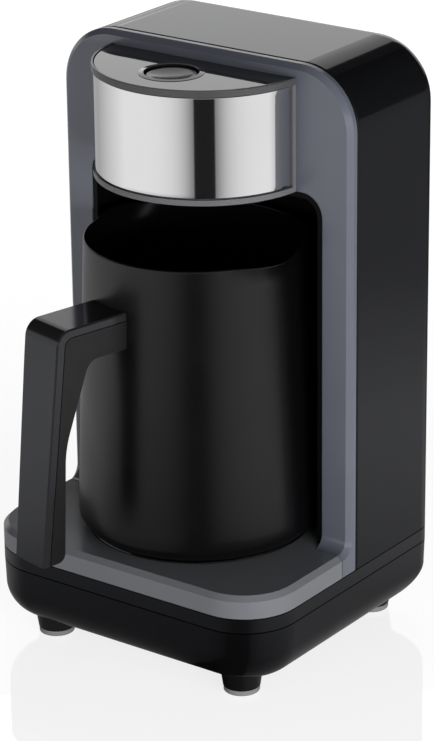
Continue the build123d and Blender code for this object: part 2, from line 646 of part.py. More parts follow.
def pot_form(inset, floor, corner_r):
    """Solid of revolution under the wall's surface, inset from the outside."""
    outline = Polyline((0, floor), (POT_BASE_R - inset, floor), (pot_radius(POT_TOP) - inset, POT_TOP),
                       (0, POT_TOP), close=True)
    section = make_face(Plane.XZ * outline)
    foot = section.vertices().group_by(Axis.Z)[0].sort_by(Axis.X)[-1]
    section = fillet(foot, corner_r)
    return revolve(section, Axis.Z)


def spout_form(inset, side):
    """Round spout that swells out of the wall below the rim, on one side."""
    low_z = POT_TOP - SPOUT_DEPTH
    low_r = SPOUT_R - 4.0
    low = Pos(side * (pot_radius(low_z) - low_r - 0.2), 0, low_z) * Circle(low_r - inset)
    top = Pos(side * (SPOUT_REACH - SPOUT_R), 0, POT_TOP) * Circle(SPOUT_R - inset)
    return loft([low, top])


def pot_blank():
    """The pot without its hollow."""
    blank = pot_form(0.0, POT_BOTTOM, POT_BASE_FILLET)
    for side in (-1, 1):
        blank += spout_form(0.0, side)
    return blank


def pot_local():
    """Coated steel pot with a pouring spout on each side."""
    hollow = pot_form(POT_WALL, POT_BOTTOM + POT_FLOOR, POT_BASE_FILLET - POT_WALL)
    for side in (-1, 1):
        hollow += spout_form(POT_WALL, side)
    return pot_blank() - hollow


def grip_x(z):
    """Distance of the grip's outer face from the pot's axis at height z."""
    return BEND_TOP + (GRIP_FOOT_OUT - BEND_TOP) * (ARM_TOP - z) / (ARM_TOP - GRIP_BOTTOM)


def handle_side(start, bottom_r):
    """Side view of the whole handle as points of (distance, height), with corners rounded."""
    outline = Polyline(
        (start, ARM_TOP), (grip_x(ARM_TOP), ARM_TOP), (GRIP_FOOT_OUT, GRIP_BOTTOM),
        (GRIP_FOOT_IN, GRIP_BOTTOM), (GRIP_WAIST, GRIP_WAIST_Z), (61.6, ARM_BOTTOM),
        (start, ARM_BOTTOM), close=True)
    face = make_face(outline)

    def corner(face_now, x, z):
        return face_now.vertices().sort_by_distance((x, z, 0))[0]

    face = fillet(corner(face, grip_x(ARM_TOP), ARM_TOP), BEND_R)
    face = fillet(corner(face, GRIP_FOOT_IN, GRIP_BOTTOM), bottom_r)
    face = fillet(corner(face, GRIP_WAIST, GRIP_WAIST_Z), 40.0)
    return fillet(corner(face, 61.6, ARM_BOTTOM), 6.0)


def handle_band(t=HANDLE_SHELL):
    """Side view of the outer shell: a strip along the arm's top and the grip's outer face."""
    outline = Polyline(
        (ARM_START, ARM_TOP), (grip_x(ARM_TOP), ARM_TOP), (GRIP_FOOT_OUT, GRIP_BOTTOM),
        (GRIP_FOOT_OUT - t, GRIP_BOTTOM), (grip_x(ARM_TOP) - t, ARM_TOP - t),
        (ARM_START, ARM_TOP - t), close=True)
    face = make_face(outline)
    outer = face.vertices().sort_by_distance((grip_x(ARM_TOP), ARM_TOP, 0))[0]
    face = fillet(outer, BEND_R)
    inner = face.vertices().sort_by_distance((grip_x(ARM_TOP) - t, ARM_TOP - t, 0))[0]
    return fillet(inner, BEND_R - t + 0.4)


def handle_plane():
    """Plane whose x runs outwards from the pot (-Y) and whose y is up."""
    return Plane(origin=(0, 0, 0), x_dir=(0, -1, 0), z_dir=(-1, 0, 0))


def across(face):
    """Side view extruded over the handle's width, narrower towards the foot."""
    solid = extrude(handle_plane() * face, HANDLE_HALF, both=True)
    drop = ARM_TOP - GRIP_BOTTOM
    front = Polyline((-HANDLE_HALF, ARM_TOP + 5), (HANDLE_HALF, ARM_TOP + 5), (HANDLE_HALF, ARM_BOTTOM),
                     (HANDLE_HALF_LOW, GRIP_BOTTOM - 1), (-HANDLE_HALF_LOW, GRIP_BOTTOM - 1),
                     (-HANDLE_HALF, ARM_BOTTOM), close=True)
    plane = Plane(origin=(0, 0, 0), x_dir=(1, 0, 0), z_dir=(0, -1, 0))
    return solid & extrude(plane * make_face(front), drop + 20)


def handle_shell_local():
    """Glossy outer shell with a small bevel along both edges, ending at the pot's wall."""
    shell = across(handle_band())
    sides = shell.faces().filter_by(lambda f: abs(f.normal_at().X) > 0.9)
    rim = [e for f in sides for e in f.edges() if shell_bevel(e)]
    return chamfer(rim, 0.6) - pot_form(-POT_GAP, POT_BOTTOM, POT_BASE_FILLET)


def shell_bevel(edge):
    """True for the edges along the shell's outer surface."""
    p = edge.center()
    on_top = p.Z > ARM_TOP - 0.01
    on_face = abs(-p.Y - grip_x(p.Z)) < 0.05 and p.Z > GRIP_BOTTOM + 1
    on_bend = edge.geom_type == GeomType.CIRCLE and edge.radius > BEND_R - 0.1
    return on_top or on_face or on_bend


def bracket_local():
    """Steel foot welded to the pot, with a tongue into the arm."""
    foot = block(-7, 7, -47.0, -42.0, 136.0, 144.0)
    foot -= pot_blank()
    foot &= block(-7, 7, -45.9, -42.0, 136.0, 144.0)
    tongue = block(-4.5, 4.5, -66.0, -45.0, 139.2, 140.8)
    return foot + tongue - post(0, HANDLE_SCREW_Y, 138.0, 142.0, 1.6 + FIT)


def handle_screw_local():
    return screw_up(0, HANDLE_SCREW_Y, 137.2, 142.5, (3.2, 2.0, 1.6))


def handle_core_local():
    """Satin inner part of arm and grip, fitted to the pot's wall."""
    core = across(handle_side(40.0, 3.5)) - across(handle_band())
    groove = across(handle_band(HANDLE_SHELL + 0.35))
    core -= groove - block(1 - HANDLE_HALF_LOW, HANDLE_HALF_LOW - 1, -100, 0, 0, HEIGHT)
    core -= block(-30, 30, -ARM_START, 0, ARM_TOP - HANDLE_SHELL, ARM_TOP + 5)
    core -= pot_blank()
    core -= bracket_local()
    core -= post(0, HANDLE_SCREW_Y, ARM_BOTTOM - 1, 137.2, 3.3)
    return core - post(0, HANDLE_SCREW_Y, 137.0, 143.0, 1.6 + FIT)


def placed(shape):
    """A piece of the pot, turned and set on the heater."""
    return Pos(0, POT_Y, 0) * Rot(0, 0, POT_TURN) * shape


# ---------------------------------------------------------------- nodes
NODES = {
    "base_tray": base_tray, "chassis": chassis, "deck_trim": deck_trim, "deck_screws": deck_screws,
    "foot_pads": foot_pads, "foot_collars": foot_collars, "foot_screws": foot_screws,
    "heater_plate": heater_plate, "heater_gasket": heater_gasket, "heating_element": heating_element,
    "heater_bracket": heater_bracket, "heater_screw": heater_screw, "thermostat": thermostat,
    "thermal_fuse": thermal_fuse, "front_bezel": front_bezel, "rear_shell": rear_shell,
    "back_cover": back_cover, "cover_screws": cover_screws, "column_screws": column_screws,
    "niche_liner": niche_liner, "liner_screws": liner_screws,
    "head_housing": head_housing, "steel_band": steel_band, "head_screws": head_screws,
    "head_floor": head_floor, "sensor_window": sensor_window, "foam_sensor": foam_sensor,
    "top_carrier": top_carrier, "top_plate": top_plate, "button_ring": button_ring,
    "start_button": start_button, "button_clip": button_clip, "button_spring": button_spring,
    "control_board": control_board, "tact_switch": tact_switch, "buzzer": buzzer,
    "board_screws": board_screws, "power_board": power_board, "power_relay": power_relay,
    "transformer": transformer, "power_capacitor": power_capacitor, "wire_loom": wire_loom,
    "loom_clips": loom_clips, "cord_gland": cord_gland, "gland_nut": gland_nut,
    "pot_body": lambda: placed(pot_local()),
    "handle_shell": lambda: placed(handle_shell_local()),
    "handle_core": lambda: placed(handle_core_local()),
    "handle_bracket": lambda: placed(bracket_local()),
    "handle_screw": lambda: placed(handle_screw_local()),
}


def main():
    os.makedirs("parts", exist_ok=True)
    low, high = [], []
    for name, make in NODES.items():
        shape = Pos(0, BODY_Y, 0) * make()
        box = shape.bounding_box()
        low.append((box.min.X, box.min.Y, box.min.Z))
        high.append((box.max.X, box.max.Y, box.max.Z))
        export_step(shape, f"parts/{name}.step")
    print("low", [round(min(v), 2) for v in zip(*low)], "high", [round(max(v), 2) for v in zip(*high)])


main()
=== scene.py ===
"""Looks, studio and camera of the electric Turkish coffee maker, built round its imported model."""

import logging
from dataclasses import dataclass
from enum import Enum

import bpy
import numpy as np
from mathutils import Matrix, Vector


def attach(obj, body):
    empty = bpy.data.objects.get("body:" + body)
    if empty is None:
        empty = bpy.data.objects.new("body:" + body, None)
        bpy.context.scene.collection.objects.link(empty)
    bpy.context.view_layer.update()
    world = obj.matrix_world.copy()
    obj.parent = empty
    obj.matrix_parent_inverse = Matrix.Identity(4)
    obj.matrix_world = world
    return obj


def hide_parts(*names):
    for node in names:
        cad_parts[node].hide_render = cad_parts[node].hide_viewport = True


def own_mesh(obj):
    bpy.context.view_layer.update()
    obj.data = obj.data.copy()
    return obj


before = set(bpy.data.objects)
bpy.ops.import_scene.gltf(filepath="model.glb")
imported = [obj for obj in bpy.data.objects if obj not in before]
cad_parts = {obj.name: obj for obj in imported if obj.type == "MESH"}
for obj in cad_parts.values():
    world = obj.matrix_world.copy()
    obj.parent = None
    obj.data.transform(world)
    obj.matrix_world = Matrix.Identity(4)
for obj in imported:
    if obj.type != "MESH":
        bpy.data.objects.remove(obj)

LOG = logging.getLogger("coffee_maker")
MM = 0.001
BODY_Y = 13.6                                   # the machine's middle, mm behind the origin
HEAD_AXIS = (0.0, BODY_Y + 1.25)                # the round head's upright axis, mm
NOISE_SPAN = (0.3, 0.7)                         # where nearly all values of a noise lie
LINE_SPAN = (0.25, 0.75)                        # the same for polishing lines
WHITE = (1.0, 1.0, 1.0)
COOL = (0.86, 0.89, 1.0)                        # bluish tint of mirror images in black plastic

Span = tuple[float, float]
Colour = tuple[float, float, float]
Point = tuple[float, float, float]
Socket = bpy.types.NodeSocket
Value = Socket | Colour | float


def scaled(values: tuple[float, ...], factor: float) -> tuple[float, ...]:
    """A colour or a span multiplied by a factor."""
    return tuple(value * factor for value in values)


def in_radians(degrees: tuple[float, ...]) -> tuple[float, ...]:
    """Angles turned from degrees into radians."""
    return tuple(np.radians(degrees).tolist())


def direction(azimuth: float, elevation: float) -> np.ndarray:
    """Unit vector of a direction: its plan part is the elevation's cosine, its height the sine.

    Args:
        azimuth: degrees from the user's side towards the user's right.
        elevation: degrees above the table.

    Returns:
        Array of 3, pointing away from the object.
    """
    az, el = np.radians([azimuth, elevation])
    return np.array([np.sin(az) * np.cos(el), -np.cos(az) * np.cos(el), np.sin(el)])


# ---------------------------------------------------------------- node graphs
class Graph:
    """The node tree of one material, with short calls for what the finishes share."""

    def __init__(self, name: str) -> None:
        """Starts a material of that name with its Principled shader and object coordinates.

        Args:
            name: the material's name.
        """
        self.material = bpy.data.materials.new(name)
        self.material.use_nodes = True
        self.start(self.material.node_tree, "Principled BSDF")

    def start(self, tree: bpy.types.NodeTree, shader: str) -> None:
        """Takes over a new tree with the shader that it comes with.

        Args:
            tree: the tree.
            shader: name of the shader's node.
        """
        self.tree = tree
        self.shader = tree.nodes[shader]
        self.place = tree.nodes.new("ShaderNodeTexCoord").outputs["Object"]

    def feed(self, slot: Socket, value: Value) -> None:
        """Links another socket to an input, or sets a plain value on it.

        Args:
            slot: the input.
            value: a socket, a number, a point, or a colour without its alpha.
        """
        if isinstance(value, Socket):
            self.tree.links.new(value, slot)
        elif slot.type == "RGBA":
            slot.default_value = (*value, 1)
        else:
            slot.default_value = value

    def node(self, kind: str, inputs: dict[str | int, Value] | None = None,
             **settings: object) -> bpy.types.Node:
        """Adds one node.

        Args:
            kind: the node's type without its ShaderNode prefix.
            inputs: what feeds its inputs, by name or number.
            settings: properties set on the node.

        Returns:
            The new node.
        """
        made = self.tree.nodes.new("ShaderNode" + kind)
        for key, setting in settings.items():
            setattr(made, key, setting)
        for key, value in (inputs or {}).items():
            self.feed(made.inputs[key], value)
        return made

    def split(self, coords: Socket) -> tuple[Socket, ...]:
        """The three coordinates of a point or direction, each on its own."""
        return tuple(self.node("SeparateXYZ", {0: coords}).outputs)

    def length(self, coords: Socket) -> Socket:
        """Length of a vector."""
        return self.node("VectorMath", {0: coords}, operation="LENGTH").outputs["Value"]

    def stretched(self, scale: Point, centre: Point = (0.0, 0.0, 0.0)) -> Socket:
        """Object coordinates moved to a centre and stretched.

        Args:
            scale: factor along each axis.
            centre: point that becomes the origin, in metres.

        Returns:
            The mapped coordinates.
        """
        moved = self.node("VectorMath", {0: self.place, 1: centre}, operation="SUBTRACT")
        grown = self.node("VectorMath", {0: moved.outputs[0], 1: scale}, operation="MULTIPLY")
        return grown.outputs[0]

    def about_axis(self, axis_mm: Span) -> Socket:
        """Plan coordinates about an upright axis, whose place is in millimetres."""
        return self.stretched((1.0, 1.0, 0.0), (axis_mm[0] * MM, axis_mm[1] * MM, 0.0))

    def noise(self, size_mm: float, detail: float = 3.0, coords: Socket | None = None) -> Socket:
        """Fractal noise with features of one size.

        Args:
            size_mm: width of its features, in millimetres of the coordinates given.
            detail: octaves of finer noise.
            coords: coordinates to read, object coordinates if none.

        Returns:
            The noise value from 0 to 1.
        """
        inputs = {"Vector": coords or self.place, "Scale": 1.0 / (size_mm * MM), "Detail": detail}
        return self.node("TexNoise", inputs).outputs["Fac"]

    def cells(self, size_mm: float) -> Socket:
        """Cellular pattern: the distance to the nearest cell's centre.

        Args:
            size_mm: width of a cell in millimetres.

        Returns:
            The distance, where 1 is a cell's width.
        """
        inputs = {"Vector": self.place, "Scale": 1.0 / (size_mm * MM)}
        return self.node("TexVoronoi", inputs, feature="F1").outputs["Distance"]

    def spread(self, value: Socket, source: Span, target: Span) -> Socket:
        """Maps a value from one range to another, clamped.

        Args:
            value: the value to map.
            source: its range.
            target: the range that it becomes.

        Returns:
            The mapped value.
        """
        ends = zip(("From Min", "From Max", "To Min", "To Max"), source + target)
        return self.node("MapRange", {"Value": value, **dict(ends)}).outputs["Result"]

    def math(self, operation: str, first: Socket | float, second: Socket | float = 0.0) -> Socket:
        """One step of arithmetic on sockets or numbers, by Blender's name of the operation."""
        return self.node("Math", {0: first, 1: second}, operation=operation).outputs[0]

    def product(self, *factors: Socket) -> Socket:
        """Product of two or more values.

        Args:
            factors: the values.

        Returns:
            The product.
        """
        total = factors[0]
        for factor in factors[1:]:
            total = self.math("MULTIPLY", total, factor)
        return total

    def turn(self, coords: Socket) -> Socket:
        """Plan angle in radians, 0 on the side of -Y and growing towards +X.

        Args:
            coords: the point or direction.

        Returns:
            The angle, from minus half a turn to half a turn.
        """
        x, y, _ = self.split(coords)
        return self.math("ARCTAN2", x, self.math("MULTIPLY", y, -1.0))

    def wave(self, distance: Socket, pitch_mm: float) -> Socket:
        """Sine of a distance, one turn for each pitch."""
        turned = self.math("MULTIPLY", distance, 2 * np.pi / (pitch_mm * MM))
        return self.math("SINE", turned)

    def blend(self, amount: Socket, low: Socket | Colour, high: Socket | Colour) -> Socket:
        """Colour between two colours.

        Args:
            amount: 0 for the first colour, 1 for the second.
            low: the first colour.
            high: the second colour.

        Returns:
            The mixed colour.
        """
        mix = self.node("Mix", {"Factor": amount}, data_type="RGBA")
        slots = (slot for slot in mix.inputs if slot.type == "RGBA")
        for slot, value in zip(slots, (low, high)):
            self.feed(slot, value)
        return next(slot for slot in mix.outputs if slot.type == "RGBA")

    def varied(self, cloud: Socket, colour: Colour, factors: Span) -> Socket:
        """Colour that a noise makes darker or lighter, from one factor to the other."""
        return self.blend(cloud, scaled(colour, factors[0]), scaled(colour, factors[1]))

    def mixed(self, share: Socket, first: Socket, second: Socket) -> Socket:
        """Shader that turns from the first into the second as the share goes from 0 to 1."""
        return self.node("MixShader", {0: share, 1: first, 2: second}).outputs[0]

    def surface(self, kind: str, **inputs: Value) -> Socket:
        """Adds a shader or gloss node, with what feeds its inputs, and gives its output."""
        return self.node(kind, inputs).outputs[0]

    def set(self, **values: Value) -> None:
        """Sets plain values on the shader's own sockets, underscores standing for spaces."""
        for key, value in values.items():
            self.feed(self.shader.inputs[key.replace("_", " ")], value)

    def colour(self, value: Socket) -> None:
        """Links the shader's base colour."""
        self.feed(self.shader.inputs["Base Color"], value)

    def rough(self, cloud: Socket, levels: Span, span: Span = NOISE_SPAN) -> None:
        """Lets a noise vary the shader's roughness between two levels, over one span of it."""
        self.feed(self.shader.inputs["Roughness"], self.spread(cloud, span, levels))

    def bump(self, height: Socket, depth_mm: float) -> None:
        """Gives the shader a relief: a height from 0 to 1, and its depth in millimetres."""
        relief = self.node("Bump", {"Height": height, "Distance": depth_mm * MM})
        self.feed(self.shader.inputs["Normal"], relief.outputs["Normal"])


class Sky(Graph):
    """The node tree of the world, with the directions that it is seen in."""

    def __init__(self, name: str) -> None:
        """Starts a world of that name.

        Args:
            name: the world's name.
        """
        self.world = bpy.data.worlds.new(name)
        self.world.use_nodes = True
        self.start(self.world.node_tree, "Background")


# ---------------------------------------------------------------- finishes
@dataclass(frozen=True)
class Finish:
    """One finish of the object's surfaces."""

    name: str
    colour: Colour

    def make(self) -> bpy.types.Material:
        """Builds the material.

        Returns:
            The finished material.
        """
        graph = Graph(self.name)
        self.paint(graph)
        return graph.material

    def paint(self, graph: Graph) -> None:
        """Lays the finish's own nodes in the material."""
        raise NotImplementedError


@dataclass(frozen=True)
class Plastic(Finish):
    """Moulded plastic: a faint mottle, uneven polish and a moulded grain."""

    roughness: float
    specular: float = 0.5
    mottle: Span = (0.92, 1.08)
    mottle_mm: float = 38.0
    smear: Span = (0.86, 1.14)
    smear_mm: float = 11.0
    grain_mm: float = 0.5
    grain_depth_mm: float = 0.002
    tint: Colour = WHITE

    def surface_tone(self, graph: Graph) -> Socket:
        """The colour with its faint mottle."""
        return graph.varied(graph.noise(self.mottle_mm, detail=2.0), self.colour, self.mottle)

    def paint(self, graph: Graph) -> None:
        """Lays colour, polish, gloss and grain.

        Args:
            graph: the material's nodes.
        """
        graph.colour(self.surface_tone(graph))
        smear = graph.noise(self.smear_mm, detail=4.0)
        graph.rough(smear, scaled(self.smear, self.roughness))
        graph.set(Specular_IOR_Level=self.specular, Specular_Tint=self.tint)
        graph.bump(graph.noise(self.grain_mm, detail=2.0), self.grain_depth_mm)


@dataclass(frozen=True)
class RimmedPlastic(Plastic):
    """Moulded plastic of one colour, made darker above one height, on its upper rim."""

    edge_mm: float = 0.0
    edge_blend_mm: float = 0.2
    edge_factor: float = 1.0

    def surface_tone(self, graph: Graph) -> Socket:
        """The colour, made darker from the edge's height upwards.

        Args:
            graph: the material's nodes.

        Returns:
            The colour.
        """
        height = graph.split(graph.place)[2]
        edge = scaled((self.edge_mm, self.edge_mm + self.edge_blend_mm), MM)
        is_edge = graph.spread(height, edge, (0.0, 1.0))
        return graph.blend(is_edge, self.colour, scaled(self.colour, self.edge_factor))


@dataclass(frozen=True)
class Rubber(Finish):
    """Soft rubber: powdery, with fine pits."""

    roughness: Span = (0.62, 0.8)
    specular: float = 0.4
    dust: Span = (0.88, 1.12)
    dust_mm: float = 3.0
    pit_mm: float = 0.35
    pit_depth_mm: float = 0.02

    def paint(self, graph: Graph) -> None:
        """Lays the dusty colour and polish, and the pits.

        Args:
            graph: the material's nodes.
        """
        dust = graph.noise(self.dust_mm, detail=5.0)
        graph.colour(graph.varied(dust, self.colour, self.dust))
        graph.rough(dust, self.roughness)
        graph.set(Specular_IOR_Level=self.specular)
        graph.bump(graph.noise(self.pit_mm), self.pit_depth_mm)


class Lay(Enum):
    """Direction of the lines left by polishing, as a stretch of the noise that draws them."""

    ROUND_BAND = (1.0, 1.0, 160.0)
    NONE = (1.0, 1.0, 1.0)


@dataclass(frozen=True)
class Metal(Finish):
    """Bare or plated metal with polishing lines and a slight tarnish."""

    roughness: float
    lay: Lay = Lay.NONE
    line_mm: float = 12.0
    relief_mm: float = 0.0004
    polish: Span = (0.75, 1.25)
    tarnish: Span = (0.97, 1.03)
    tarnish_mm: float = 24.0

    def paint(self, graph: Graph) -> None:
        """Lays the tarnish and the lines.

        Args:
            graph: the material's nodes.
        """
        graph.colour(graph.varied(graph.noise(self.tarnish_mm), self.colour, self.tarnish))
        lines = graph.noise(self.line_mm, coords=graph.stretched(self.lay.value))
        graph.rough(lines, scaled(self.polish, self.roughness), LINE_SPAN)
        graph.set(Metallic=1.0)
        graph.bump(lines, self.relief_mm)


@dataclass(frozen=True)
class TurnedMetal(Finish):
    """Metal disc faced on a lathe: fine rings about an upright axis."""

    roughness: float
    axis_mm: Span
    pitch_mm: float = 0.8
    ring_depth_mm: float = 0.004
    polish: Span = (0.8, 1.25)
    stain: Span = (0.85, 1.1)
    stain_mm: float = 14.0

    def paint(self, graph: Graph) -> None:
        """Lays the stains and the rings.

        Args:
            graph: the material's nodes.
        """
        stain = graph.noise(self.stain_mm, detail=5.0)
        graph.colour(graph.varied(stain, self.colour, self.stain))
        graph.rough(stain, scaled(self.polish, self.roughness))
        graph.set(Metallic=1.0)
        radius = graph.length(graph.about_axis(self.axis_mm))
        graph.bump(graph.wave(radius, self.pitch_mm), self.ring_depth_mm)


@dataclass(frozen=True)
class Coating(Finish):
    """Non-stick coating on metal: nearly black, satin, with minute flakes."""

    roughness: float
    specular: float = 0.5
    flake_mm: float = 0.6
    flake_reach: float = 0.35
    flake_factor: float = 1.8
    polish: Span = (0.9, 1.1)
    polish_mm: float = 16.0
    grain_mm: float = 0.7
    grain_depth_mm: float = 0.002

    def paint(self, graph: Graph) -> None:
        """Lays the flakes, the polish and the grain.

        Args:
            graph: the material's nodes.
        """
        flakes = graph.spread(graph.cells(self.flake_mm), (0.0, self.flake_reach), (1.0, 0.0))
        graph.colour(graph.blend(flakes, self.colour, scaled(self.colour, self.flake_factor)))
        cloud = graph.noise(self.polish_mm, detail=4.0)
        graph.rough(cloud, scaled(self.polish, self.roughness))
        graph.set(Specular_IOR_Level=self.specular)
        graph.bump(graph.noise(self.grain_mm), self.grain_depth_mm)


@dataclass(frozen=True)
class Board(Finish):
    """Glass-fibre circuit board: solder mask over a weave, with copper paths below it."""

    roughness: Span = (0.25, 0.4)
    cloud_mm: float = 5.0
    weave_factor: float = 0.75
    path_factor: float = 2.2
    path_scale: float = 180.0
    path_width: float = 0.06
    path_depth_mm: float = 0.03

    def paint(self, graph: Graph) -> None:
        """Lays the weave and the paths.

        Args:
            graph: the material's nodes.
        """
        paths = graph.node("TexBrick", {
            "Vector": graph.place, "Scale": self.path_scale, "Mortar Size": self.path_width,
            "Color1": self.colour, "Color2": scaled(self.colour, self.weave_factor),
            "Mortar": scaled(self.colour, self.path_factor)})
        graph.colour(paths.outputs["Color"])
        graph.rough(graph.noise(self.cloud_mm), self.roughness)
        graph.bump(paths.outputs["Fac"], self.path_depth_mm)


@dataclass(frozen=True)
class Winding(Finish):
    """Transformer: stacked steel laminations in the first colour, and the coil's tape above."""

    tape: Colour
    tape_from_mm: float
    roughness: Span = (0.4, 0.55)
    layer_mm: float = 0.5
    layer_depth_mm: float = 0.05
    stain: Span = (0.8, 1.2)
    stain_mm: float = 4.0

    def paint(self, graph: Graph) -> None:
        """Lays the stained steel, the tape and the layers.

        Args:
            graph: the material's nodes.
        """
        _, along, height = graph.split(graph.place)
        is_tape = graph.math("GREATER_THAN", height, self.tape_from_mm * MM)
        stain = graph.noise(self.stain_mm)
        steel = graph.varied(stain, self.colour, self.stain)
        graph.colour(graph.blend(is_tape, steel, self.tape))
        graph.rough(stain, self.roughness)
        graph.bump(graph.wave(along, self.layer_mm), self.layer_depth_mm)


# each by name and colour, then roughness and specular level where they are given
FINISHES = {finish.name: finish for finish in (
    Plastic("tray_black", (0.002, 0.002, 0.0022), 0.2, 0.45, grain_mm=0.8, tint=COOL),
    Plastic("rim_black", (0.003, 0.003, 0.0033), 0.24, 0.44, tint=COOL),
    Plastic("deck_grey", (0.125, 0.129, 0.14), 0.2, grain_depth_mm=0.001),
    Plastic("bezel_grey", (0.091, 0.097, 0.12), 0.22, grain_depth_mm=0.001),
    Plastic("shell_black", (0.005, 0.0052, 0.0058), 0.1, 0.22, grain_depth_mm=0.0006, tint=COOL),
    Plastic("cover_black", (0.012, 0.012, 0.0135), 0.42, 0.4, grain_mm=0.7, grain_depth_mm=0.03),
    Plastic("liner_black", (0.002, 0.002, 0.0023), 0.5, 0.1),
    # head_grey is drawn darker above 232.2 mm, on the housing's upper rim
    RimmedPlastic("head_grey", (0.1, 0.1, 0.105), 0.25, 0.3, grain_depth_mm=0.001,
                  edge_mm=232.2, edge_factor=0.5),
    Metal("polished_steel", (0.72, 0.72, 0.73), 0.06, Lay.ROUND_BAND),
    Plastic("plate_black", (0.004, 0.004, 0.0045), 0.04, 0.58, grain_depth_mm=0.0002),
    Plastic("button_black", (0.02, 0.02, 0.021), 0.16, 0.25, grain_depth_mm=0.0006),
    Plastic("ring_black", (0.01, 0.01, 0.0105), 0.06, 0.6, grain_depth_mm=0.0002),
    Coating("pot_coating", (0.002, 0.002, 0.0022), 0.3, 0.35),
    Plastic("handle_gloss", (0.012, 0.012, 0.0125), 0.12, 0.34, grain_depth_mm=0.0006, tint=COOL),
    Plastic("handle_satin", (0.006, 0.006, 0.0063), 0.35, 0.3, grain_depth_mm=0.006),
    Rubber("pad_rubber", (0.17, 0.17, 0.175)),
    Plastic("collar_black", (0.004, 0.004, 0.0043), 0.3),
    Plastic("inner_plastic", (0.012, 0.012, 0.013), 0.5, grain_depth_mm=0.02),
    TurnedMetal("heater_aluminium", (0.12, 0.12, 0.125), 0.4, axis_mm=(0.0, 7.5)),
    Metal("element_metal", (0.45, 0.45, 0.46), 0.5, relief_mm=0.05),
    Rubber("silicone", (0.35, 0.09, 0.06)),
    Metal("zinc_steel", (0.6, 0.6, 0.58), 0.3, relief_mm=0.004),
    Metal("spring_steel", (0.55, 0.55, 0.56), 0.25),
    Board("board_green", (0.02, 0.11, 0.05)),
    Plastic("part_black", (0.02, 0.02, 0.02), 0.45, grain_depth_mm=0.01),
    Plastic("relay_blue", (0.04, 0.13, 0.36), 0.3),
    Winding("laminations", (0.22, 0.22, 0.23), tape=(0.5, 0.36, 0.08), tape_from_mm=216.4),
    Plastic("can_sleeve", (0.03, 0.035, 0.08), 0.25),
    Rubber("wire_red", (0.4, 0.04, 0.03)),
    Plastic("window_smoke", (0.03, 0.006, 0.008), 0.06),
)}


# ---------------------------------------------------------------- surfaces
def mesh_of_grid(name: str, points: np.ndarray, closed: bool = True) -> bpy.types.Object:
    """Turns a grid of points into a smooth mesh whose faces point outwards.

    Neighbouring points of the grid make a quad.  In a closed shape the last column of points
    joins the first, and the first and last rows each close in a point at their mean.  Six times
    the volume is the sum of (a cross b) dot c over the triangles, and tells by its sign which way
    the faces point: they are turned round if it is below 0.

    Args:
        name: the object's name.
        points: array of rows by columns by 3, in millimetres.
        closed: whether the columns go round and the ends are closed.

    Returns:
        The object, linked to the scene.
    """
    rows, columns, _ = points.shape
    index = np.arange(rows * columns).reshape(rows, columns)
    corners = points.reshape(-1, 3) * MM
    fans = np.zeros((0, 3), int)
    if closed:
        top, bottom = index[0], index[-1]
        first, last = len(corners), len(corners) + 1
        corners = np.vstack([corners, np.stack([points[0].mean(0), points[-1].mean(0)]) * MM])
        fans = np.vstack([
            np.stack([np.full(columns, first), np.roll(top, -1), top], -1),
            np.stack([np.full(columns, last), bottom, np.roll(bottom, -1)], -1)])
        index = np.hstack([index, index[:, :1]])
    near, far = index[:-1], index[1:]
    quads = np.stack([near[:, :-1], near[:, 1:], far[:, 1:], far[:, :-1]], -1).reshape(-1, 4)
    triangles = np.vstack([quads[:, [0, 1, 2]], quads[:, [0, 2, 3]], fans])
    a, b, c = corners[triangles.T]
    if np.einsum("ij,ij->", np.cross(a, b), c) < 0:
        quads, fans = quads[:, ::-1], fans[:, ::-1]
    mesh = bpy.data.meshes.new(name)
    mesh.from_pydata(corners.tolist(), [], quads.tolist() + fans.tolist())
    mesh.polygons.foreach_set("use_smooth", np.ones(len(mesh.polygons), bool))
    made = bpy.data.objects.new(name, mesh)
    bpy.context.scene.collection.objects.link(made)
    return made


def arc(centre: Span, radius: float, start: float, end: float, steps: int) -> np.ndarray:
    """Points of an arc: centre plus radius times (cosine, sine) of an even run of angles.

    Args:
        centre: the arc's centre.
        radius: its radius.
        start: first angle in degrees.
        end: last angle in degrees.
        steps: number of points.

    Returns:
        Array of steps by 2.
    """
    angle = np.radians(np.linspace(start, end, steps))
    return np.stack([centre[0] + radius * np.cos(angle), centre[1] + radius * np.sin(angle)], -1)


# ---------------------------------------------------------------- studio
@dataclass(frozen=True)
class Viewpoint:
    """Camera at the reference viewing angle."""

    azimuth: float = 36.357
    elevation: float = 21.448
    roll: float = -0.687
    place_m: Point = (0.6953, -0.9243, 0.5672)
    clip_m: Span = (0.05, 20.0)
    focal_px: float = 3194.0
    frame_px: float = 741.0
    sensor_mm: float = 36.0

    def make(self) -> bpy.types.Object:
        """Builds the camera: its back axis points away from the object, roll turns the others.

        Returns:
            The camera's object.
        """
        back = direction(self.azimuth, self.elevation)
        right = np.cross([0, 0, 1], back)
        right /= np.linalg.norm(right)
        up = np.cross(back, right)
        roll = np.radians(self.roll)
        turned_right = right * np.cos(roll) + up * np.sin(roll)
        turned_up = -right * np.sin(roll) + up * np.cos(roll)
        axes = np.stack([turned_right, turned_up, back], -1)
        data = bpy.data.cameras.new("camera")
        data.sensor_fit = "AUTO"
        data.sensor_width = self.sensor_mm
        data.lens = self.focal_px * self.sensor_mm / self.frame_px
        data.clip_start, data.clip_end = self.clip_m
        camera = bpy.data.objects.new("camera", data)
        camera.matrix_world = Matrix.Translation(self.place_m) @ Matrix(axes.tolist()).to_4x4()
        bpy.context.scene.collection.objects.link(camera)
        bpy.context.scene.camera = camera
        return camera


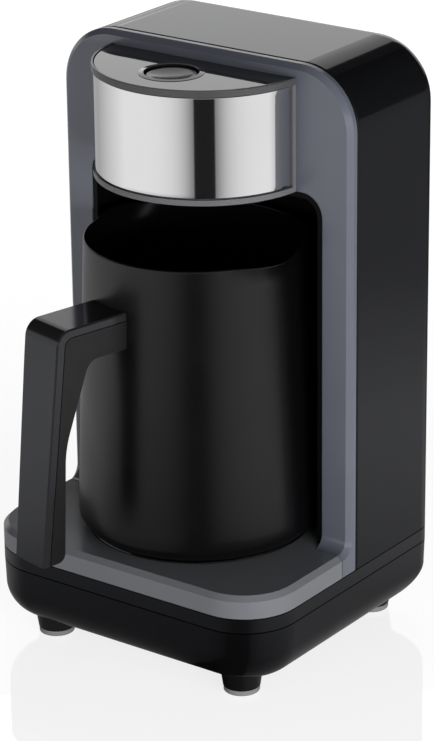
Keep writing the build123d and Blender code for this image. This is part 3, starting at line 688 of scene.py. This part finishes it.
@dataclass(frozen=True)
class Softbox:
    """Rectangular lamp that looks at the object; polished parts show it if it is mirrored."""

    name: str
    azimuth: float
    elevation: float
    distance_m: float
    width_m: float
    height_m: float
    level: float
    aim_m: Point = (0.0, 0.01, 0.12)
    mirrored: bool = False

    def make(self) -> bpy.types.Object:
        """Builds the lamp; its level is the brightness of its face, where 1 is white.

        Returns:
            The lamp's object.
        """
        away = Vector(direction(self.azimuth, self.elevation))
        data = bpy.data.lights.new(self.name, "AREA")
        data.shape = "RECTANGLE"
        data.size, data.size_y = self.width_m, self.height_m
        data.energy = np.pi * self.level * self.width_m * self.height_m
        lamp = bpy.data.objects.new(self.name, data)
        lamp.location = Vector(self.aim_m) + away * self.distance_m
        lamp.rotation_euler = away.to_track_quat("Z", "Y").to_euler()
        lamp.visible_camera = False
        lamp.visible_glossy = self.mirrored
        bpy.context.scene.collection.objects.link(lamp)
        return lamp


@dataclass(frozen=True)
class FloorTones:
    """Brightness of the floor in polished parts, by direction and distance from the head.

    Turns are in degrees about the head's axis, 0 straight ahead of the camera and growing to the
    user's right.  Distances are in metres in plan.
    """

    gap_azimuth: float = 35.15
    gap_tones: tuple[Span, ...] = (
        (0.0, 0.016), (10.05, 0.018), (10.75, 0.26), (16.0, 0.46), (20.0, 0.6),
        (26.0, 0.75), (34.0, 0.88), (46.0, 0.97), (60.0, 1.0))
    near_m: Span = (0.11, 0.30)
    near_tone: float = 0.3
    front_left_turn: Span = (-95.0, -80.0)
    front_left_m: Span = (0.28, 0.55)
    front_left_tone: float = 0.52
    rear_turn: Span = (68.0, 86.0)
    rear_m: Span = (0.15, 0.5)
    rear_tone: float = 0.3
    left_turn: Span = (-140.0, -88.0)
    left_tone: float = 0.44
    far_turn: Span = (112.0, 135.0)
    far_tone: float = 0.1

    def gap(self, graph: Graph, turn: Socket) -> Socket:
        """Dark straight ahead of the camera, brighter to both sides by the table of tones.

        Args:
            graph: the floor's nodes.
            turn: the direction from the head.

        Returns:
            The tone.
        """
        widest = self.gap_tones[-1][0]
        share = graph.math("DIVIDE", graph.math("ABSOLUTE", turn), float(np.radians(widest)))
        ramp = graph.node("ValToRGB", {"Fac": share})
        stops = ramp.color_ramp.elements
        while len(stops) < len(self.gap_tones):
            stops.new(0.5)
        for stop, (degrees, tone) in zip(stops, self.gap_tones):
            stop.position = degrees / widest
            stop.color = (tone, tone, tone, 1)
        return ramp.outputs["Color"]

    def near(self, graph: Graph, turn: Socket, distance: Socket) -> Socket:
        """Dimmed close to the machine, and further out on the front left.

        Args:
            graph: the floor's nodes.
            turn: the direction from the head.
            distance: the distance from the head.

        Returns:
            The tone.
        """
        # painted shade of the machine on the floor, as polished parts show it
        close = graph.spread(distance, self.near_m, (self.near_tone, 1.0))
        on_left = graph.math("LESS_THAN", turn, 0.0)
        in_front = graph.spread(turn, in_radians(self.front_left_turn), (0.0, 1.0))
        dimmed = graph.spread(distance, self.front_left_m, (1.0 - self.front_left_tone, 0.0))
        kept = graph.math("SUBTRACT", 1.0, graph.product(on_left, in_front, dimmed))
        return graph.product(close, kept)

    def rear(self, graph: Graph, turn: Socket, distance: Socket) -> Socket:
        """Falling off with the distance behind the machine on the right.

        Args:
            graph: the floor's nodes.
            turn: the direction from the head.
            distance: the distance from the head.

        Returns:
            The tone.
        """
        behind = graph.spread(turn, in_radians(self.rear_turn), (0.0, 1.0))
        falling = graph.spread(distance, self.rear_m, (1.0, self.rear_tone))
        ahead = graph.math("SUBTRACT", 1.0, behind)
        return graph.math("ADD", ahead, graph.product(falling, behind))

    def sides(self, graph: Graph, turn: Socket) -> Socket:
        """Dim on the far left and dark on the far right."""
        left = graph.spread(turn, in_radians(self.left_turn), (self.left_tone, 1.0))
        far = graph.spread(turn, in_radians(self.far_turn), (1.0, self.far_tone))
        return graph.product(left, far)

    def tone(self, graph: Graph, distance: Socket) -> Socket:
        """Product of the four tones.

        Args:
            graph: the floor's nodes.
            distance: the distance from the head.

        Returns:
            The floor's brightness.
        """
        ahead = graph.node(
            "VectorRotate", {"Vector": graph.about_axis(HEAD_AXIS),
                             "Angle": -float(np.radians(self.gap_azimuth))},
            rotation_type="Z_AXIS")
        turn = graph.turn(ahead.outputs[0])
        return graph.product(self.gap(graph, turn), self.near(graph, turn, distance),
                             self.rear(graph, turn, distance), self.sides(graph, turn))


@dataclass(frozen=True)
class Studio:
    """White sweep, softboxes and what polished parts show of them."""

    ambient: float = 0.1
    ambient_tint: Colour = (0.97, 0.98, 1.0)
    sky_fall: Span = (10.0, 19.0)
    sky_tone: float = 0.05
    dark_turn: tuple[float, float, float, float] = (108.0, 118.0, 185.0, 200.0)
    floor_half_m: float = 5.0
    floor_glow: float = 0.35
    floor_bounce: float = 0.8
    floor_share: float = 0.3
    floor_ior: float = 1.53
    fill_m: Span = (0.2, 0.9)
    fill_tones: Span = (0.9, 1.12)
    floor_tones: FloorTones = FloorTones()
    boxes: tuple[Softbox, ...] = (
        Softbox("right_box", azimuth=68.0, elevation=3.7, distance_m=1.4,
                width_m=1.2, height_m=0.4, level=17.0),
        Softbox("front_box", azimuth=-9.0, elevation=5.0, distance_m=1.5,
                width_m=1.0, height_m=0.5, level=3.2),
        Softbox("back_panel", azimuth=216.4, elevation=0.0, distance_m=0.6,
                width_m=0.6, height_m=0.46, level=1.08, aim_m=(0.0, 0.01, 0.57), mirrored=True),
    )

    def is_shown(self, rays: bpy.types.Node, graph: Graph) -> Socket:
        """1 for glossy and transmitted rays, in which polished parts show the background."""
        kinds = rays.outputs["Is Glossy Ray"], rays.outputs["Is Transmission Ray"]
        return graph.math("MAXIMUM", *kinds)

    def make_world(self) -> None:
        """Builds the world.

        It is white to the camera and in the sharp mirror image on the floor.  Polished parts show
        it white at the horizon and dark overhead.  To all other rays it is a faint even light.
        """
        sky = Sky("studio")
        bpy.context.scene.world = sky.world
        sky.set(Color=self.ambient_tint, Strength=self.ambient)
        rays = sky.node("LightPath")
        shown = sky.surface("Background", Color=WHITE, Strength=self.sky_tones(sky))
        white = sky.surface("Background", Color=WHITE)
        lit = sky.mixed(self.is_shown(rays, sky), sky.shader.outputs[0], shown)
        is_plain = sky.math("MAXIMUM", rays.outputs["Is Camera Ray"],
                            rays.outputs["Is Singular Ray"])
        output = sky.tree.nodes["World Output"]
        sky.feed(output.inputs["Surface"], sky.mixed(is_plain, lit, white))

    def sky_tones(self, sky: Sky) -> Socket:
        """Brightness of the sky in polished parts.

        It falls off above the horizon, and is dark behind the machine on the right.

        Args:
            sky: the world's nodes.

        Returns:
            The brightness.
        """
        height = sky.split(sky.place)[2]
        fall = tuple(np.sin(in_radians(self.sky_fall)).tolist())
        rise = sky.spread(height, fall, (1.0, self.sky_tone))
        turn = sky.turn(sky.place)
        start, dark, still_dark, end = in_radians(self.dark_turn)
        before = sky.spread(turn, (start, dark), (1.0, 0.0))
        after = sky.spread(turn, (still_dark, end), (0.0, 1.0))
        return sky.product(rise, sky.math("ADD", before, after))

    def floor_material(self) -> bpy.types.Material:
        """Builds the white gloss floor.

        The camera sees it lit, with the shadow and a faint mirror image, and its glow dimmer close
        to the machine as painted shade.  Polished parts show its plain tones.  To all other rays it
        is matt white with a glow.

        Returns:
            The finished material.
        """
        graph = Graph("floor")
        graph.tree.nodes.remove(graph.shader)
        distance = graph.length(graph.about_axis(HEAD_AXIS))
        rays = graph.node("LightPath")
        lit = graph.surface("BsdfDiffuse", Color=(self.floor_share,) * 3)
        # painted shade: the floor's glow is dimmer close to the machine and brighter further out
        level = graph.spread(distance, self.fill_m, self.fill_tones)
        filled = graph.surface("Emission", Strength=level)
        mirror = graph.surface("BsdfGlossy", Roughness=0.0)
        gloss = graph.surface("Fresnel", IOR=self.floor_ior)
        both = graph.node("AddShader", {0: lit, 1: filled}).outputs[0]
        seen = graph.mixed(gloss, both, mirror)
        matt = graph.surface("BsdfDiffuse", Color=(self.floor_bounce,) * 3)
        glow = graph.surface("Emission", Strength=self.floor_glow)
        bounce = graph.node("AddShader", {0: matt, 1: glow}).outputs[0]
        plain = graph.surface("Emission", Strength=self.floor_tones.tone(graph, distance))
        hidden = graph.mixed(self.is_shown(rays, graph), bounce, plain)
        output = graph.tree.nodes["Material Output"]
        is_seen = rays.outputs["Is Camera Ray"]
        graph.feed(output.inputs["Surface"], graph.mixed(is_seen, hidden, seen))
        return graph.material

    def make(self) -> None:
        """Builds world, floor and lamps."""
        self.make_world()
        half = self.floor_half_m / MM
        edge = np.array([-half, half])
        x, y = np.meshgrid(edge, edge)
        floor = mesh_of_grid("floor", np.stack([x, y, np.zeros_like(x)], -1), closed=False)
        floor.data.materials.append(self.floor_material())
        for box in self.boxes:
            box.make()


# ---------------------------------------------------------------- sub-assemblies
@dataclass
class SubAssembly:
    """Pieces of one sub-assembly, dressed in their finishes."""

    body: str
    finishes: dict[str, bpy.types.Material]

    def dress(self, dressing: dict[str, str]) -> None:
        """Gives nodes of the frame their finishes.

        Args:
            dressing: name of the finish for each node.
        """
        for node, slot in dressing.items():
            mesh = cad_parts[node].data
            mesh.materials.clear()
            mesh.materials.append(self.finishes[slot])
            LOG.info("%s dressed in %s", node, slot)

    def place(self, piece: bpy.types.Object, slot: str, *stands_for: str) -> None:
        """Dresses a new piece and lets it ride on the sub-assembly's body.

        Args:
            piece: the new piece.
            slot: name of its finish.
            stands_for: nodes of the frame that it replaces.
        """
        piece.data.materials.append(self.finishes[slot])
        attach(piece, self.body)
        if stands_for:
            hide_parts(*stands_for)
        LOG.info("%s built with %d faces", piece.name, len(piece.data.polygons))


@dataclass
class Pot(SubAssembly):
    """Coated pot with a spout on each side, and its handle."""

    axis_mm: Span = (0.0, BODY_Y - 6.1)
    turn_deg: float = -13.0
    bottom: float = 48.6
    top: float = 167.0
    base_r: float = 47.9
    rim_r: float = 43.4
    foot_r: float = 6.0
    foot_from_deg: float = -4.0
    lip_cut_deg: float = 18.0
    wall: float = 1.0
    floor: float = 3.0
    spout_swell: float = 4.7
    spout_half_deg: float = 26.0
    spout_depth: float = 10.0
    fine_depth: float = 20.0
    row_gap: float = 2.0
    floor_rows: int = 6
    coarse_rows: int = 14
    fine_rows: int = 26
    columns: int = 288

    def radius(self, z: np.ndarray) -> np.ndarray:
        """Outer radius of the tapered wall: a straight line from the foot's rounding to the rim."""
        low = self.bottom + self.foot_r
        return self.base_r + (self.rim_r - self.base_r) * (z - low) / (self.top - low)

    def swell(self, angle: np.ndarray, z: np.ndarray) -> np.ndarray:
        """How far a spout stands out.

        It is half a cosine wave across the spout's width, times the square of what is left of its
        depth below the rim.

        Args:
            angle: plan angles in radians, spouts at 0 and half a turn.
            z: heights in mm.

        Returns:
            The swell in mm.
        """
        off = np.abs((angle + np.pi / 2) % np.pi - np.pi / 2)
        share = np.clip(off / np.radians(self.spout_half_deg), 0.0, 1.0)
        left = np.clip(1 - (self.top - z) / self.spout_depth, 0.0, 1.0)
        return self.spout_swell * 0.5 * (1 + np.cos(np.pi * share)) * left ** 2

    def profile(self) -> tuple[np.ndarray, np.ndarray]:
        """Section of the wall, from mid inner floor over the lip to the middle of the bottom.

        Its rows stand closer together in the fine zone under the rim, where the spouts are.

        Returns:
            Distances from the axis and heights, in mm, with the taper but no spout.
        """
        inner_floor = self.bottom + self.floor
        inner_r = self.foot_r - self.wall
        bend_at = self.base_r - self.foot_r
        across = np.linspace(self.row_gap, bend_at - self.row_gap, self.floor_rows)
        floor_line = np.stack([across, np.full_like(across, inner_floor)], -1)
        bend_in = arc((bend_at, inner_floor + inner_r), inner_r, -90, 0, steps=9)
        fine_from, lip_r = self.top - self.fine_depth, 0.5 * self.wall
        coarse = np.linspace(inner_floor + inner_r + self.row_gap, fine_from - self.row_gap,
                             self.coarse_rows)
        fine = np.linspace(fine_from, self.top - lip_r, self.fine_rows)
        up = np.concatenate([coarse, fine])
        inside = np.stack([self.radius(up) - self.wall, up], -1)
        lip_at = (self.radius(np.array(self.top)) - lip_r, self.top - lip_r)
        lip = arc(lip_at, lip_r, 180 - self.lip_cut_deg, self.lip_cut_deg, steps=7)
        outside = np.stack([self.radius(up), up], -1)[::-1]
        foot_at = (bend_at, self.bottom + self.foot_r)
        foot = arc(foot_at, self.foot_r, self.foot_from_deg, -90, steps=13)
        under = np.stack([across, np.full_like(across, self.bottom)], -1)[::-1]
        line = np.concatenate([floor_line, bend_in, inside, lip, outside, foot, under])
        return line[:, 0], line[:, 1]

    def make_wall(self) -> bpy.types.Object:
        """Builds the wall: the section turned about the axis, moved out by the spouts' swell.

        Returns:
            The wall's object.
        """
        distance, z = self.profile()
        angle = np.linspace(0, 2 * np.pi, self.columns, endpoint=False)
        full = distance[:, None] + self.swell(angle[None, :], z[:, None])
        turned = angle + np.radians(self.turn_deg)
        x = self.axis_mm[0] + full * np.cos(turned)
        y = self.axis_mm[1] + full * np.sin(turned)
        points = np.stack([x, y, np.broadcast_to(z[:, None], x.shape)], -1)
        return mesh_of_grid("pot_wall", points)

    def make(self) -> None:
        """Builds the wall and dresses the handle."""
        self.place(self.make_wall(), "pot_coating", "pot_body")
        self.dress({"handle_shell": "handle_gloss", "handle_core": "handle_satin",
                    "handle_bracket": "zinc_steel", "handle_screw": "zinc_steel"})


@dataclass
class Base(SubAssembly):
    """Tray, rim, deck, feet and the heater between them."""

    def make(self) -> None:
        """Dresses the nodes."""
        self.dress({
            "base_tray": "tray_black", "chassis": "rim_black", "deck_trim": "deck_grey",
            "deck_screws": "zinc_steel", "foot_pads": "pad_rubber",
            "foot_collars": "collar_black", "foot_screws": "zinc_steel",
            "heater_plate": "heater_aluminium", "heater_gasket": "silicone",
            "heating_element": "element_metal", "heater_bracket": "zinc_steel",
            "heater_screw": "zinc_steel", "thermostat": "part_black",
            "thermal_fuse": "can_sleeve"})


@dataclass
class Column(SubAssembly):
    """Bezel, hood, niche liner, and the mains parts and wiring behind them."""

    def make(self) -> None:
        """Dresses the nodes."""
        self.dress({
            "front_bezel": "bezel_grey", "rear_shell": "shell_black",
            "back_cover": "cover_black", "cover_screws": "zinc_steel",
            "column_screws": "zinc_steel", "niche_liner": "liner_black",
            "liner_screws": "zinc_steel", "power_board": "board_green",
            "power_relay": "relay_blue", "transformer": "laminations",
            "power_capacitor": "can_sleeve", "wire_loom": "wire_red",
            "loom_clips": "inner_plastic", "cord_gland": "collar_black",
            "gland_nut": "inner_plastic"})


@dataclass
class Head(SubAssembly):
    """Round head: housing, steel band, top plate, and the electronics inside."""

    axis_mm: Span = HEAD_AXIS
    band_r: float = 42.6
    band_low: float = 193.1
    band_high: float = 232.1
    band_thick: float = 0.65
    band_end_y: float = BODY_Y - 2.8
    side_rows: int = 22
    columns: int = 161

    def make_band(self) -> bpy.types.Object:
        """Builds the steel band: a strip section with round edges carried round the head's arc.

        Returns:
            The band's object.
        """
        half = 0.5 * self.band_thick
        middle = self.band_r - half
        upper = arc((middle, self.band_high - half), half, 0, 180, steps=9)
        lower = arc((middle, self.band_low + half), half, 180, 360, steps=9)
        share = np.linspace(0, 1, self.side_rows + 2)[1:-1, None]
        side_in = upper[-1] + (lower[0] - upper[-1]) * share
        side_out = lower[-1] + (upper[0] - lower[-1]) * share
        section = np.concatenate([upper, side_in, lower, side_out])
        reach = np.arcsin((self.axis_mm[1] - self.band_end_y) / self.band_r)
        angle = np.linspace(np.pi + reach, 2 * np.pi - reach, self.columns)[:, None]
        x = self.axis_mm[0] + section[:, 0] * np.cos(angle)
        y = self.axis_mm[1] + section[:, 0] * np.sin(angle)
        z = np.broadcast_to(section[:, 1], x.shape)
        return mesh_of_grid("steel_strip", np.stack([x, y, z], -1))

    def make(self) -> None:
        """Builds the band and dresses the nodes."""
        self.place(self.make_band(), "polished_steel", "steel_band")
        self.dress({
            "head_housing": "head_grey", "head_screws": "zinc_steel",
            "head_floor": "inner_plastic", "sensor_window": "window_smoke",
            "foam_sensor": "part_black", "top_carrier": "inner_plastic",
            "top_plate": "plate_black", "button_ring": "ring_black",
            "control_board": "board_green", "tact_switch": "part_black",
            "buzzer": "part_black", "board_screws": "zinc_steel"})


@dataclass
class Button(SubAssembly):
    """Start button and the clip on its stem."""

    def make(self) -> None:
        """Dresses the nodes."""
        self.dress({"start_button": "button_black", "button_clip": "spring_steel"})


@dataclass
class ReturnSpring(SubAssembly):
    """Compression spring under the start button, which shortens as the button goes down."""

    axis_mm: Span = (0.0, BODY_Y - 19.8)
    low: float = 225.7
    high: float = 231.5
    coil_r: float = 4.2
    wire_r: float = 0.3
    turns: int = 4
    play: float = 0.02
    press: float = 1.3
    rows_per_turn: int = 36
    columns: int = 12

    def make_coil(self) -> bpy.types.Object:
        """Builds the coil: a circle of the wire's radius along a helix, square to its direction.

        Returns:
            The coil's object.
        """
        start = self.low + self.wire_r + self.play
        end = self.high - self.wire_r - self.play
        whole = 2 * np.pi * self.turns
        climb = (end - start) / whole
        slope = np.arctan2(climb, self.coil_r)
        angle = np.linspace(0, whole, self.rows_per_turn * self.turns + 1)[:, None]
        around = np.linspace(0, 2 * np.pi, self.columns, endpoint=False)[None, :]
        out = self.coil_r + self.wire_r * np.cos(around)
        lift = self.wire_r * np.sin(around)
        x = self.axis_mm[0] + out * np.cos(angle) + lift * np.sin(slope) * np.sin(angle)
        y = self.axis_mm[1] + out * np.sin(angle) - lift * np.sin(slope) * np.cos(angle)
        z = start + climb * angle + lift * np.cos(slope)
        return mesh_of_grid("spring_coil", np.stack([x, y, z], -1))

    def make(self) -> None:
        """Builds the coil and gives it a mesh of its own."""
        coil = self.make_coil()
        self.place(coil, "spring_steel", "button_spring")
        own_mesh(coil)


def main() -> None:
    """Builds the studio and every sub-assembly."""
    logging.basicConfig(level=logging.INFO, format="%(name)s: %(message)s")
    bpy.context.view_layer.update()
    bpy.context.scene.view_settings.view_transform = "Standard"
    Viewpoint().make()
    Studio().make()
    finishes = {slot: finish.make() for slot, finish in FINISHES.items()}
    for assembly in (Base("machine", finishes), Column("machine", finishes),
                     Head("machine", finishes), ReturnSpring("machine", finishes),
                     Button("button", finishes), Pot("pot", finishes)):
        assembly.make()


if __name__ == "__main__":
    main()
